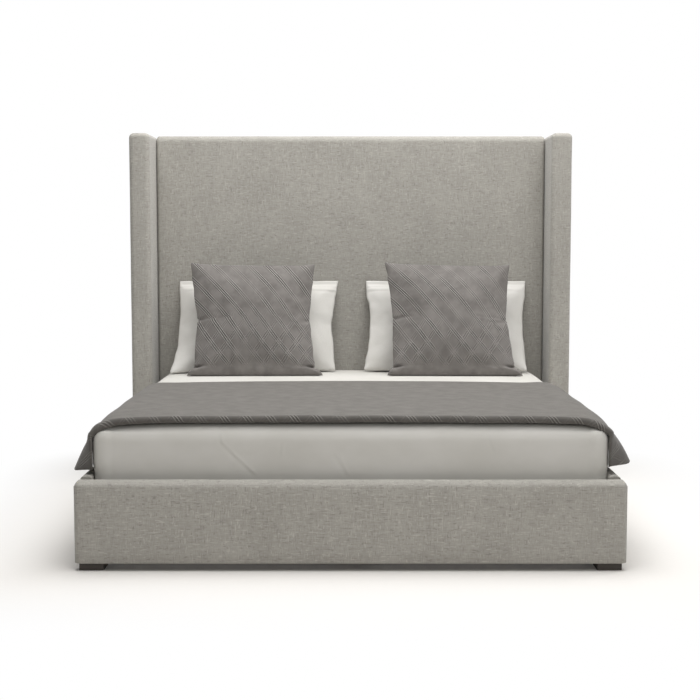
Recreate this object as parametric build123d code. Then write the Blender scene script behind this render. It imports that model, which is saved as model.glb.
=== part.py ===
from build123d import *
import math
import os

# Upholstered king-size bed with a winged headboard, padded rails, slats and bedding.
# X runs across the bed, +Y to the headboard, Z up from the floor.

# Mattress and sheet, which set the size of the frame round them
mattress_width = 1930.0
mattress_length = 2030.0
mattress_height = 281.0
mattress_edge_radius = 70.0
mattress_base_chamfer = 25.0
sheet_thickness = 2.0
sheet_turn_under = 120.0
mattress_side_gap = 3.0
mattress_head_gap = 11.0
mattress_foot_gap = 18.0

# Upholstery: cover cloth, its seat on the padding, and the rounds of the padded edges
cover_thickness = 1.5
layer_gap = 0.3
cover_turn_under = 22.0

# Footboard and side rails
foot_height = 28.0
rail_height = 319.0
rail_thickness = 42.0
rail_edge_radius = 12.0
rail_board_thickness = 24.0
footboard_thickness = 60.0
footboard_overlap = 16.0
footboard_edge_radius = 26.0
footboard_board_thickness = 30.0

# Headboard and wings
headboard_height = 1765.0
headboard_thickness = 87.0
headboard_edge_radius = 18.0
headboard_side_gap = 6.0
headboard_frame_depth = 44.0
headboard_timber_width = 70.0
headboard_face_board_thickness = 9.0
headboard_mid_rail_height = 900.0
headboard_stud_spacing = 640.0
back_cloth_margin = 40.0
wing_thickness = 104.0
wing_depth = 315.0
wing_edge_radius = 25.0
wing_board_thickness = 40.0

# Feet
foot_width = 92.0
foot_depth = 95.0
foot_setback = 20.0
foot_edge_radius = 3.0
front_foot_inset = 14.0
rear_foot_inset = 6.0

# Slats, their ledgers and ribbons
deck_height = 262.0
slat_count = 14
slat_width = 70.0
slat_thickness = 18.0
slat_chamfer = 4.0
slat_end_gap = 2.0
slat_end_margin = 30.0
ribbon_width = 25.0
ribbon_thickness = 1.0
ribbon_spacing = 1200.0
ledger_width = 28.0
ledger_height = 40.0
ledger_end_gap = 1.0

# Centre beam, its hangers, legs and levelling glides
beam_width = 44.0
beam_height = 64.0
hanger_thickness = 3.0
hanger_plate_width = 90.0
hanger_seat_depth = 40.0
hanger_cheek_height = 40.0
leg_count = 3
leg_width = 44.0
leg_chamfer = 4.0
glide_radius = 19.0
glide_height = 8.0
glide_stem_radius = 4.0
glide_stem_engagement = 28.0
glide_travel = 12.0

# Rail brackets and bolts
bracket_flange = 60.0
bracket_height = 90.0
bracket_thickness = 3.0
bracket_base_height = 60.0
bolt_radius = 4.0
bolt_head_radius = 7.5
bolt_head_height = 5.3
bolt_reach = 22.0
bolt_clearance = 0.3
wing_bolt_count = 2
wing_bolt_first_height = 250.0
wing_bolt_last_height = 1450.0
wing_bolt_reach = 25.0

# Throw: a quilted cover laid over the foot two thirds of the mattress
throw_thickness = 9.0
throw_hem_thickness = 27.0
throw_hem_length = 42.0
throw_back_edge = 1430.0
throw_front_setback = 10.0
throw_shoulder_radius = 80.0
throw_shoulder_angle = 55.0
throw_flare = 70.0
throw_fold = 14.0
throw_fold_count = 5
throw_fold_steps = 5
throw_hem_height = 383.0
throw_hem_fold = 9.0
throw_hem_place_shares = (0.35, 0.75, 1.0)
throw_hem_thickness_shares = (0.65, 1.0, 0.7)

# Pads, as shares: where the stuffing is fullest, how bowed it is, and how the sides are drawn in
pad_fullest_share = 0.30
pad_bow_share = 0.75
pad_waist_share = 0.50
pad_top_width_share = 0.98

# Pillows: two sleeping pillows that lean on the headboard
pillow_width = 850.0
pillow_height = 464.0
pillow_depth = 168.0
pillow_base_depth = 112.0
pillow_waist_depth = 10.0
pillow_lean = 200.0
pillow_spacing = 994.0
pillow_seam = 8.0

# Cushions: two square cushions that lean on the pillows
cushion_width = 655.0
cushion_height = 556.0
cushion_depth = 165.0
cushion_base_depth = 84.0
cushion_waist_depth = 26.0
cushion_lean = 215.0
cushion_spacing = 1016.0
cushion_seam = 6.0
pad_settle_steps = 3
bedding_gap = 0.45
cushion_back_gap = 4.0

# One overrun for every cut that runs out of a piece
overrun = 20.0

glide_stem_length = glide_stem_engagement + glide_travel

# Plan of the bed, worked out from the mattress
inner_width = mattress_width + 2 * (sheet_thickness + mattress_side_gap)
inner_length = mattress_length + 2 * sheet_thickness + mattress_head_gap + mattress_foot_gap
inner_half = inner_width / 2
outer_half = inner_half + rail_thickness
footboard_half = outer_half + footboard_overlap
headboard_half = outer_half + headboard_side_gap
wing_outer = headboard_half + wing_thickness
bed_length = footboard_thickness + inner_length + headboard_thickness
front_y = -bed_length / 2
back_y = bed_length / 2
foot_face_y = front_y + footboard_thickness
head_face_y = back_y - headboard_thickness
wing_front_y = back_y - wing_depth
rail_top = foot_height + rail_height
padding_inset = cover_thickness + layer_gap
sides = (("left", -1), ("right", 1))


os.makedirs("parts", exist_ok=True)


def save(shape, name):
    """Write one sub-part to its own file."""
    export_step(shape, f"parts/{name}.step")


def block(x_range, y_range, z_range, growth=0.0):
    """A plain box between two planes on each axis, grown evenly on every side."""
    spans = [sorted(pair) for pair in (x_range, y_range, z_range)]
    sizes = [high - low + 2 * growth for low, high in spans]
    middles = [(low + high) / 2 for low, high in spans]
    return Pos(*middles) * Box(*sizes)


def padded_form(x_range, y_range, z_range, edge_radius):
    """A padded block with rounded top and corners and a square base."""
    form = block(x_range, y_range, z_range)
    form = fillet(form.edges().filter_by(Axis.Z), edge_radius)
    return fillet(form.edges().group_by(Axis.Z)[-1], edge_radius)


def cover_wall(edge_radius):
    """Cover cloth with its wadding: as thick as a square cavity needs inside the rounded corners."""
    return cover_thickness + edge_radius * (1 - 1 / math.sqrt(3))


def cylinder_along(direction, start, length, radius):
    """A straight round bar from a start point along one axis."""
    return Plane(origin=start, z_dir=direction) * Cylinder(
        radius, length, align=(Align.CENTER, Align.CENTER, Align.MIN)
    )


def union(shapes):
    """Several solids of one sub-part in one shape."""
    return Compound(children=[solid for shape in shapes for solid in shape.solids()])


def cut(shape, tools):
    """Take every tool out of the shape."""
    for tool in tools:
        shape = shape - tool
    return shape


# Bolts, their round holes in hard layers and the square reliefs in soft layers

bracket_bolt_length = bracket_thickness + padding_inset + bolt_reach


def bolt(direction, seat_point):
    """A hexagon-head bolt whose head sits on the seat point and whose shank goes the given way."""
    outward = (-direction[0], -direction[1], -direction[2])
    head_sketch = Plane(origin=seat_point, z_dir=outward) * RegularPolygon(bolt_head_radius, 6)
    head = extrude(head_sketch, bolt_head_height)
    return head + cylinder_along(direction, seat_point, bracket_bolt_length, bolt_radius)


def bolt_hole(direction, start, length):
    """The round clearance hole of one bolt."""
    return cylinder_along(direction, start, length + bolt_clearance, bolt_radius + bolt_clearance)


def bolt_relief(direction, start, length):
    """The square relief left round one bolt in cloth and foam."""
    width = 2 * (bolt_radius + bolt_clearance)
    return Plane(origin=start, z_dir=direction) * Box(
        width, width, length + bolt_clearance, align=(Align.CENTER, Align.CENTER, Align.MIN)
    )


def bracket_bolt_places():
    """Direction, seat point and length of the bolts: four brackets with one bolt in each flange."""
    height = bracket_base_height + bracket_height / 2
    along = bracket_flange / 2 + bracket_thickness
    places = []
    for _, side in sides:
        for face_y, inward in ((foot_face_y, 1), (head_face_y, -1)):
            rail_seat = (side * (inner_half - bracket_thickness), face_y + inward * along, height)
            board_seat = (side * (inner_half - along), face_y + inward * bracket_thickness, height)
            places.append(((side, 0, 0), rail_seat, bracket_bolt_length))
            places.append(((0, -inward, 0), board_seat, bracket_bolt_length))
    return places


def wing_bolt_places():
    """Direction, start point and length of the bolts that join the wings to the headboard."""
    start_x = headboard_half - padding_inset - headboard_edge_radius - wing_bolt_reach
    end_x = headboard_half + wing_thickness / 2 - wing_board_thickness / 2 + wing_bolt_reach
    middle_y = back_y - padding_inset - headboard_frame_depth / 2
    step = (wing_bolt_last_height - wing_bolt_first_height) / (wing_bolt_count - 1)
    return [
        ((side, 0, 0), (side * start_x, middle_y, wing_bolt_first_height + step * index), end_x - start_x)
        for _, side in sides
        for index in range(wing_bolt_count)
    ]


bracket_holes = [bolt_hole(*place) for place in bracket_bolt_places()]
bracket_reliefs = [bolt_relief(*place) for place in bracket_bolt_places()]
wing_holes = [bolt_hole(*place) for place in wing_bolt_places()]
wing_reliefs = [bolt_relief(*place) for place in wing_bolt_places()]


# Footboard: timber board, foam round its front, top and ends, cover turned under its base

def footboard():
    wall = cover_wall(footboard_edge_radius)
    outer = padded_form(
        (-footboard_half, footboard_half),
        (front_y, foot_face_y),
        (foot_height, rail_top),
        footboard_edge_radius,
    )
    padding_ranges = (
        (-footboard_half + wall, footboard_half - wall),
        (front_y + wall, foot_face_y - wall),
        (foot_height + cover_thickness, rail_top - wall),
    )
    board_half = footboard_half - padding_inset - footboard_edge_radius
    board_back = foot_face_y - padding_inset
    board_ranges = (
        (-board_half, board_half),
        (board_back - footboard_board_thickness, board_back),
        (foot_height + padding_inset, rail_top - padding_inset - footboard_edge_radius),
    )
    board_room = block(*board_ranges, layer_gap)
    window = block(
        (-board_half + cover_turn_under, board_half - cover_turn_under),
        (front_y + cover_turn_under, foot_face_y - cover_turn_under),
        (foot_height - overrun, foot_height + padding_inset),
    )
    save(cut(block(*board_ranges), bracket_holes), "footboard_board")
    save(block(*padding_ranges, -layer_gap) - board_room, "footboard_foam")
    save(cut(outer - block(*padding_ranges) - board_room - window, bracket_reliefs), "footboard_cover")


# Side rails: timber board, foam on its outer face and edges, cover sewn round all of it

def side_rail(name, side):
    wall = cover_wall(rail_edge_radius)
    length_range = (foot_face_y, head_face_y)
    through_range = (foot_face_y - overrun, head_face_y + overrun)
    outer = block((side * inner_half, side * outer_half), length_range, (foot_height, rail_top))
    outer = fillet(outer.edges().filter_by(Axis.Y), rail_edge_radius)
    padding_x = (side * (inner_half + wall), side * (outer_half - wall))
    padding_z = (foot_height + wall, rail_top - wall)
    board_inner = inner_half + padding_inset
    board_x = (side * board_inner, side * (board_inner + rail_board_thickness))
    board_z = (
        foot_height + padding_inset + rail_edge_radius,
        rail_top - padding_inset - rail_edge_radius,
    )
    board_room = block(board_x, through_range, board_z, layer_gap)
    cover = outer - block(padding_x, through_range, padding_z) - board_room
    save(cut(block(board_x, length_range, board_z), bracket_holes), f"side_rail_{name}_board")
    save(block(padding_x, length_range, padding_z, -layer_gap) - board_room, f"side_rail_{name}_foam")
    save(cut(cover, bracket_reliefs), f"side_rail_{name}_cover")


# Headboard: ladder frame, face board and base board, foam, cover and back cloth

frame_half = headboard_half - padding_inset - headboard_edge_radius
frame_top = headboard_height - padding_inset - headboard_edge_radius
frame_base = foot_height + padding_inset
frame_back = back_y - padding_inset
frame_front = frame_back - headboard_frame_depth
face_front = frame_front - headboard_face_board_thickness
frame_y = (frame_front, frame_back)
stile_inner = frame_half - headboard_timber_width


def headboard_timber():
    """Two stiles, three rails between them and two studs between each pair of rails."""
    stiles = [
        cut(block((side * stile_inner, side * frame_half), frame_y, (frame_base, frame_top)), wing_holes)
        for _, side in sides
    ]
    rail_bases = (frame_base, headboard_mid_rail_height, frame_top - headboard_timber_width)
    rails = [
        block((-stile_inner, stile_inner), frame_y, (base, base + headboard_timber_width))
        for base in rail_bases
    ]
    studs = [
        block(
            (side * headboard_stud_spacing / 2 - headboard_timber_width / 2,
             side * headboard_stud_spacing / 2 + headboard_timber_width / 2),
            frame_y,
            (lower + headboard_timber_width, upper),
        )
        for _, side in sides
        for lower, upper in zip(rail_bases, rail_bases[1:])
    ]
    save(union(stiles), "headboard_stiles")
    save(union(rails), "headboard_rails")
    save(union(studs), "headboard_studs")


def headboard_padding():
    """Face board, base board behind the mattress, foam, cover and the cloth that closes the back."""
    wall = cover_wall(headboard_edge_radius)
    outer = padded_form(
        (-headboard_half, headboard_half),
        (head_face_y, back_y),
        (foot_height, headboard_height),
        headboard_edge_radius,
    )
    padding_ranges = (
        (-headboard_half + wall, headboard_half - wall),
        (head_face_y + wall, back_y - wall),
        (foot_height + cover_thickness, headboard_height - wall),
    )
    frame_x = (-frame_half, frame_half)
    frame_z = (frame_base, frame_top)
    base_ranges = (frame_x, (head_face_y + padding_inset, face_front), (frame_base, rail_top))
    frame_room = block(frame_x, (face_front, frame_back), frame_z, layer_gap)
    base_room = block(*base_ranges, layer_gap)
    window_half = headboard_half - back_cloth_margin
    window_ranges = (
        (-window_half, window_half),
        (frame_back, back_y + overrun),
        (foot_height + back_cloth_margin, headboard_height - back_cloth_margin),
    )
    back_plane_side = block(window_ranges[0], (frame_back, back_y), window_ranges[2])
    back_cloth = block(*window_ranges, -layer_gap) & back_plane_side
    cover = outer - block(*padding_ranges) - frame_room - base_room - block(*window_ranges)
    foam = block(*padding_ranges, -layer_gap) - frame_room - base_room
    save(block(frame_x, (face_front, frame_front), frame_z), "headboard_face_board")
    save(cut(block(*base_ranges), bracket_holes), "headboard_base_board")
    save(cut(foam, wing_reliefs), "headboard_foam")
    save(cut(cover, bracket_reliefs + wing_reliefs), "headboard_cover")
    save(back_cloth, "headboard_back_cloth")


# Wings: one board each, foam all round it and a sewn cover

def wing(name, side):
    wall = cover_wall(wing_edge_radius)
    near, far = side * headboard_half, side * wing_outer
    outer = padded_form(
        (near, far),
        (wing_front_y, back_y),
        (foot_height, headboard_height),
        wing_edge_radius,
    )
    padding_ranges = (
        (near + side * wall, far - side * wall),
        (wing_front_y + wall, back_y - wall),
        (foot_height + cover_thickness, headboard_height - wall),
    )
    middle = (near + far) / 2
    board_ranges = (
        (middle - wing_board_thickness / 2, middle + wing_board_thickness / 2),
        (wing_front_y + padding_inset + wing_edge_radius, back_y - padding_inset - wing_edge_radius),
        (foot_height + padding_inset, headboard_height - padding_inset - wing_edge_radius),
    )
    window = block(
        (near + side * cover_turn_under, far - side * cover_turn_under),
        (wing_front_y + cover_turn_under, back_y - cover_turn_under),
        (foot_height - overrun, foot_height + padding_inset),
    )
    foam = block(*padding_ranges, -layer_gap) - block(*board_ranges, layer_gap)
    save(cut(block(*board_ranges), wing_holes), f"wing_{name}_board")
    save(cut(foam, wing_reliefs), f"wing_{name}_foam")
    save(cut(outer - block(*padding_ranges) - window, wing_reliefs), f"wing_{name}_cover")


# Bolts and brackets

def fasteners():
    save(union([bolt(direction, seat) for direction, seat, _ in bracket_bolt_places()]), "rail_bolts")
    wing_bolts = [cylinder_along(*place, bolt_radius) for place in wing_bolt_places()]
    save(union(wing_bolts), "wing_bolts")


def bracket(side, face_y, inward):
    """An angle bracket in the corner of a rail and an end board."""
    z_range = (bracket_base_height, bracket_base_height + bracket_height)
    whole = block(
        (side * (inner_half - bracket_flange), side * inner_half),
        (face_y, face_y + inward * bracket_flange),
        z_range,
    )
    hollow = block(
        (side * (inner_half - bracket_flange - overrun), side * (inner_half - bracket_thickness)),
        (face_y + inward * bracket_thickness, face_y + inward * (bracket_flange + overrun)),
        z_range,
    )
    return cut(whole - hollow, bracket_holes)


def brackets():
    shapes = [
        bracket(side, face_y, inward)
        for _, side in sides
        for face_y, inward in ((foot_face_y, 1), (head_face_y, -1))
    ]
    save(union(shapes), "rail_brackets")


# Feet: one low block under each corner

def feet():
    for name, side in sides:
        front_outer = footboard_half - front_foot_inset
        rear_outer = wing_outer - rear_foot_inset
        front = block(
            (side * (front_outer - foot_width), side * front_outer),
            (front_y + foot_setback, front_y + foot_setback + foot_depth),
            (0.0, foot_height),
        )
        rear = block(
            (side * (rear_outer - foot_width), side * rear_outer),
            (back_y - foot_setback - foot_depth, back_y - foot_setback),
            (0.0, foot_height),
        )
        save(fillet(front.edges().filter_by(Axis.Z), foot_edge_radius), f"foot_front_{name}")
        save(fillet(rear.edges().filter_by(Axis.Z), foot_edge_radius), f"foot_rear_{name}")


# Slat deck: ledgers on the rails, slats across them and two ribbons that space the slats

slat_base = deck_height - slat_thickness


def ledgers():
    for name, side in sides:
        strip = block(
            (side * (inner_half - ledger_width), side * inner_half),
            (foot_face_y + ledger_end_gap, head_face_y - ledger_end_gap),
            (slat_base - ledger_height, slat_base),
        )
        save(strip, f"slat_ledger_{name}")


def slats():
    slat_half = inner_half - slat_end_gap
    first_y = foot_face_y + slat_end_margin
    last_y = head_face_y - slat_end_margin - slat_width
    pitch = (last_y - first_y) / (slat_count - 1)
    slat = block((-slat_half, slat_half), (0.0, slat_width), (slat_base, deck_height))
    slat = chamfer(slat.edges().filter_by(Axis.X).group_by(Axis.Z)[-1], slat_chamfer)
    save(union([Pos(0, first_y + pitch * index, 0) * slat for index in range(slat_count)]), "slats")
    ribbons = [
        block(
            (side * ribbon_spacing / 2 - ribbon_width / 2, side * ribbon_spacing / 2 + ribbon_width / 2),
            (first_y, last_y + slat_width),
            (slat_base - ribbon_thickness, slat_base),
        )
        for _, side in sides
    ]
    save(union(ribbons), "slat_ribbons")


# Centre beam on two steel hangers, with three timber legs on screw glides

beam_base = slat_base - beam_height


def hanger(face_y, inward):
    """A steel shoe on an end board that holds one end of the beam."""
    seat_half = beam_width / 2 + layer_gap
    plate = block(
        (-hanger_plate_width / 2, hanger_plate_width / 2),
        (face_y, face_y + inward * hanger_thickness),
        (beam_base - hanger_thickness, beam_base + hanger_cheek_height),
    )
    shoe = block(
        (-seat_half - hanger_thickness, seat_half + hanger_thickness),
        (face_y, face_y + inward * (hanger_thickness + hanger_seat_depth)),
        (beam_base - hanger_thickness, beam_base + hanger_cheek_height),
    )
    trough = block(
        (-seat_half, seat_half),
        (face_y + inward * hanger_thickness, face_y + inward * (hanger_seat_depth + overrun)),
        (beam_base, beam_base + hanger_cheek_height + overrun),
    )
    return plate + shoe - trough


def leg(place):
    """A square timber leg with chamfered edges, bored for the stem of its glide."""
    base = glide_height + layer_gap
    post = block((-leg_width / 2, leg_width / 2), (-leg_width / 2, leg_width / 2), (base, beam_base))
    post = chamfer(post.edges().filter_by(Axis.Z), leg_chamfer)
    bore_depth = glide_stem_length + layer_gap
    bore = cylinder_along((0, 0, 1), (0, 0, base), bore_depth, glide_stem_radius + bolt_clearance)
    return place * (post - bore)


def glide(place):
    """A screw glide: a hexagonal foot on the floor with a stem up into the leg."""
    disc = extrude(RegularPolygon(glide_radius, 6), glide_height)
    stem = cylinder_along((0, 0, 1), (0, 0, glide_height), glide_stem_length, glide_stem_radius)
    return place * (disc + stem)


def centre_support():
    beam = block(
        (-beam_width / 2, beam_width / 2),
        (foot_face_y + hanger_thickness, head_face_y - hanger_thickness),
        (beam_base, slat_base),
    )
    save(beam, "center_beam")
    save(hanger(foot_face_y, 1), "beam_hanger_foot")
    save(hanger(head_face_y, -1), "beam_hanger_head")
    for index in range(leg_count):
        place = Pos(0, foot_face_y + inner_length * (index + 1) / (leg_count + 1), 0)
        save(leg(place), f"center_leg_{index + 1}")
        save(glide(place), f"center_leg_glide_{index + 1}")


# Mattress with rounded corners and top edges, and the fitted sheet drawn over it

sheet_base = deck_height + layer_gap
mattress_base = sheet_base + sheet_thickness
mattress_top = mattress_base + mattress_height
sheet_top = mattress_top + sheet_thickness
mattress_middle_y = head_face_y - mattress_head_gap - sheet_thickness - mattress_length / 2
sheet_half = mattress_width / 2 + sheet_thickness
sheet_front_y = mattress_middle_y - mattress_length / 2 - sheet_thickness


def mattress_form(growth):
    """The mattress's rounded block with a chamfered base, grown evenly on every side."""
    half_width = mattress_width / 2 + growth
    half_length = mattress_length / 2 + growth
    form = block(
        (-half_width, half_width),
        (mattress_middle_y - half_length, mattress_middle_y + half_length),
        (mattress_base - growth, mattress_top + growth),
    )
    form = fillet(form.edges().filter_by(Axis.Z), mattress_edge_radius + growth)
    form = fillet(form.faces().sort_by(Axis.Z)[-1].edges(), mattress_edge_radius + growth)
    return chamfer(form.faces().sort_by(Axis.Z)[0].edges(), mattress_base_chamfer)


def mattress():
    inner = mattress_form(0.0)
    window = block(
        (-sheet_half + sheet_turn_under, sheet_half - sheet_turn_under),
        (sheet_front_y + sheet_turn_under, sheet_front_y + mattress_length - sheet_turn_under),
        (deck_height - overrun, mattress_base + layer_gap),
    )
    save(inner, "mattress")
    save(mattress_form(sheet_thickness) - inner - window, "fitted_sheet")


# Throw: closed sections across the bed, lofted from the back edge to the rolled front hem

shoulder_x = mattress_width / 2 - mattress_edge_radius
shoulder_z = sheet_top + bedding_gap


def throw_half(y, fold_share, growth, thickness, side):
    """Points of one side: shoulder top, middle and end, then the hem, moved out by growth."""
    radius = throw_shoulder_radius + growth
    points = []
    for angle in (0.0, throw_shoulder_angle / 2, throw_shoulder_angle):
        turn = math.radians(angle)
        x = shoulder_x + radius * math.sin(turn)
        points.append((side * x, y, shoulder_z - throw_shoulder_radius + radius * math.cos(turn)))
    hem_x = sheet_half + throw_flare + throw_fold * fold_share + growth - thickness
    points.append((side * hem_x, y, throw_hem_height - throw_hem_fold * fold_share))
    return points


def throw_section(y, fold_share, thickness):
    """One cross-section: flat over the top, an arc over each shoulder and a flared side."""
    outer_left, outer_right = (
        throw_half(y, fold_share, thickness, thickness, side) for side in (-1, 1)
    )
    inner_left, inner_right = (
        throw_half(y, fold_share, 0.0, thickness, side) for side in (-1, 1)
    )
    return make_face([
        Line(outer_left[0], outer_right[0]),
        ThreePointArc(*outer_right[:3]),
        Line(outer_right[2], outer_right[3]),
        Line(outer_right[3], inner_right[3]),
        Line(inner_right[3], inner_right[2]),
        ThreePointArc(*reversed(inner_right[:3])),
        Line(inner_right[0], inner_left[0]),
        ThreePointArc(*inner_left[:3]),
        Line(inner_left[2], inner_left[3]),
        Line(inner_left[3], outer_left[3]),
        Line(outer_left[3], outer_left[2]),
        ThreePointArc(*reversed(outer_left[:3])),
    ])


def throw():
    start_y = front_y + throw_back_edge
    end_y = sheet_front_y + throw_front_setback
    hem_y = end_y + throw_hem_length
    steps = throw_fold_count * throw_fold_steps
    sections = []
    for index in range(steps + 1):
        fold_share = math.cos(2 * math.pi * index / throw_fold_steps)
        y = start_y + (hem_y - start_y) * index / steps
        sections.append(throw_section(y, fold_share, throw_thickness))
    for place_share, thickness_share in zip(throw_hem_place_shares, throw_hem_thickness_shares):
        thickness = throw_thickness + (throw_hem_thickness - throw_thickness) * thickness_share
        sections.append(throw_section(hem_y - throw_hem_length * place_share, 1.0, thickness))
    save(loft(sections, ruled=True), "throw")


# Pillows and cushions: a bowed plan, a full-bellied side and drawn-in ends, crossed and leaned back

def bowed_plan(width, depth, seam):
    """The level outline of a pad: two bowed faces that meet in a thin seam at each end."""
    return make_face([
        ThreePointArc((-width / 2, -seam / 2), (0, -depth / 2), (width / 2, -seam / 2)),
        Line((width / 2, -seam / 2), (width / 2, seam / 2)),
        ThreePointArc((width / 2, seam / 2), (0, depth / 2), (-width / 2, seam / 2)),
        Line((-width / 2, seam / 2), (-width / 2, -seam / 2)),
    ])


def belly_edges(side, depth, base_depth, seam, base, length):
    """One side of the belly: an arc out to the fullest height and one back in to the top seam."""
    full, foot, top = depth / 2, base_depth / 2, seam / 2
    full_height = length * pad_fullest_share
    low_bow = (side * (foot + (full - foot) * pad_bow_share), (base + full_height) / 2)
    high_bow = (side * (top + (full - top) * pad_bow_share), (full_height + length) / 2)
    return [
        ThreePointArc((side * foot, base), low_bow, (side * full, full_height)),
        ThreePointArc((side * full, full_height), high_bow, (side * top, length)),
    ]


def pad_side(depth, base_depth, seam, base, length):
    """The side outline of a pad, in the Y-Z plane."""
    front = belly_edges(-1, depth, base_depth, seam, base, length)
    rear = belly_edges(1, depth, base_depth, seam, base, length)
    base_line = Line((-base_depth / 2, base), (base_depth / 2, base))
    top_line = Line((-seam / 2, length), (seam / 2, length))
    return make_face(Plane.YZ * Wire([*front, *rear, base_line, top_line]))


def pad_front(width, waist_depth, base, length):
    """The front outline of a pad, in the X-Z plane, with its two ends drawn in."""
    waist_height = length * pad_waist_share
    top_half = width * pad_top_width_share / 2
    waist_half = width / 2 - waist_depth
    ends = [
        ThreePointArc((side * width / 2, base), (side * waist_half, waist_height), (side * top_half, length))
        for _, side in sides
    ]
    base_line = Line((-width / 2, base), (width / 2, base))
    top_line = Line((-top_half, length), (top_half, length))
    return make_face(Plane.XZ * Wire([*ends, base_line, top_line]))


def leaning_pad(width, height, depth, base_depth, waist_depth, lean, seam):
    """A stuffed pad that leans back, its base pressed flat at height zero."""
    length = math.hypot(height, lean)
    base = -base_depth / 2 * lean / height
    body = Pos(0, 0, base) * extrude(bowed_plan(width, depth, seam), length - base)
    body = body & extrude(pad_side(depth, base_depth, seam, base, length), width, both=True)
    body = body & extrude(pad_front(width, waist_depth, base, length), depth, both=True)
    body = Rot(-math.degrees(math.atan2(lean, height)), 0, 0) * body
    under = block((-width, width), (-width, width), (-base_depth, 0.0))
    return body - under


def settle(pad, rest):
    """Move a pad back toward what it leans on until only its gap is left."""
    for _ in range(pad_settle_steps):
        pad = Pos(0, pad.distance_to(rest) - cushion_back_gap, 0) * pad
    return pad


def bedding_pads():
    """Each pillow leans on the headboard, and each cushion on its pillow."""
    pillow_form = leaning_pad(
        pillow_width, pillow_height, pillow_depth, pillow_base_depth,
        pillow_waist_depth, pillow_lean, pillow_seam,
    )
    cushion_form = leaning_pad(
        cushion_width, cushion_height, cushion_depth, cushion_base_depth,
        cushion_waist_depth, cushion_lean, cushion_seam,
    )
    base_z = sheet_top + bedding_gap
    pillow_y = head_face_y - cushion_back_gap - pillow_form.bounding_box().max.Y
    cushion_y = pillow_y - pillow_depth - cushion_depth
    for name, side in sides:
        pillow = Pos(side * pillow_spacing / 2, pillow_y, base_z) * pillow_form
        cushion = Pos(side * cushion_spacing / 2, cushion_y, base_z) * cushion_form
        save(pillow, f"pillow_{name}")
        save(settle(cushion, pillow), f"cushion_{name}")


footboard()
headboard_timber()
headboard_padding()
for side_name, side_sign in sides:
    side_rail(side_name, side_sign)
    wing(side_name, side_sign)
fasteners()
brackets()
feet()
ledgers()
slats()
centre_support()
mattress()
throw()
bedding_pads()
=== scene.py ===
import math
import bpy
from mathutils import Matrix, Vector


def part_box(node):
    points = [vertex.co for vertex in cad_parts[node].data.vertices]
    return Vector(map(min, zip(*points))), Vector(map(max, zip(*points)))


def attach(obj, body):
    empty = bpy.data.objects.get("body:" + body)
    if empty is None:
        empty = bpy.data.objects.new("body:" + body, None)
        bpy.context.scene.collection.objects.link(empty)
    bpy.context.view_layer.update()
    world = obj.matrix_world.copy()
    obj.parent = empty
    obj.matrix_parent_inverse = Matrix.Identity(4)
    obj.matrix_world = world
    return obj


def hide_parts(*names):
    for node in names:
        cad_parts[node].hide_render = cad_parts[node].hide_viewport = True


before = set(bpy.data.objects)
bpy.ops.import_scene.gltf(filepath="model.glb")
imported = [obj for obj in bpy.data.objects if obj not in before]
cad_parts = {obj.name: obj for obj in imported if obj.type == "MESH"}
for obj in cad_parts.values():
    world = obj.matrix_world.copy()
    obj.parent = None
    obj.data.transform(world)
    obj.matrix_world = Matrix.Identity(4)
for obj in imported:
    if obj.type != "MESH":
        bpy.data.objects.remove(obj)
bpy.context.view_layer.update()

from types import SimpleNamespace as Form

import bpy
import numpy as np
from mathutils import Vector, noise

# An upholstered bed. Lengths are in metres, the foot is at -Y, the head at +Y and the right side at +X.
scene = bpy.context.scene
both_sides = (("left", -1), ("right", 1))


# Small tools

def lerp(a, b, t):
    return a + (b - a) * t


def even(low, high, count):
    """Places from low to high in count equal steps."""
    return [lerp(low, high, i / count) for i in range(count + 1)]


def smooth(t):
    t = min(max(t, 0.0), 1.0)
    return t * t * (3 - 2 * t)


def bell(value, middle, width):
    """1 at the middle, fading to 0 on both sides."""
    return math.exp(-((value - middle) / width) ** 2)


def table_at(table, t, eased=True):
    """Values at t of a table of (place, value, ...) rows, eased or straight from row to row."""
    if t <= table[0][0]:
        return table[0][1:]
    for low, high in zip(table, table[1:]):
        if t <= high[0]:
            share = (t - low[0]) / (high[0] - low[0])
            share = smooth(share) if eased else share
            return tuple(lerp(a, b, share) for a, b in zip(low[1:], high[1:]))
    return table[-1][1:]


def wavy(x, y, z, scale, seed=0.0):
    """Smooth noise from -1 to 1."""
    return noise.noise(Vector((x * scale + seed, y * scale - seed * 1.7, z * scale + seed * 0.6)))


def mesh_piece(name, verts, faces, uvs=None):
    mesh = bpy.data.meshes.new(name)
    mesh.from_pydata([tuple(v) for v in verts], [], faces)
    if uvs is not None:
        layer = mesh.uv_layers.new(name="cloth")
        loops = np.zeros(len(mesh.loops), dtype=np.int32)
        mesh.loops.foreach_get("vertex_index", loops)
        layer.data.foreach_set("uv", np.array(uvs, dtype=np.float32)[loops].ravel())
    mesh.polygons.foreach_set("use_smooth", [True] * len(mesh.polygons))
    mesh.update()
    obj = bpy.data.objects.new(name, mesh)
    scene.collection.objects.link(obj)
    return obj


def keep_used(faces, *columns):
    """Drop the points that no face uses from the faces' numbers and from each list of values per point."""
    used = sorted({i for f in faces for i in f})
    number = {old: new for new, old in enumerate(used)}
    return [tuple(number[i] for i in f) for f in faces], *([column[i] for i in used] for column in columns)


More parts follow.
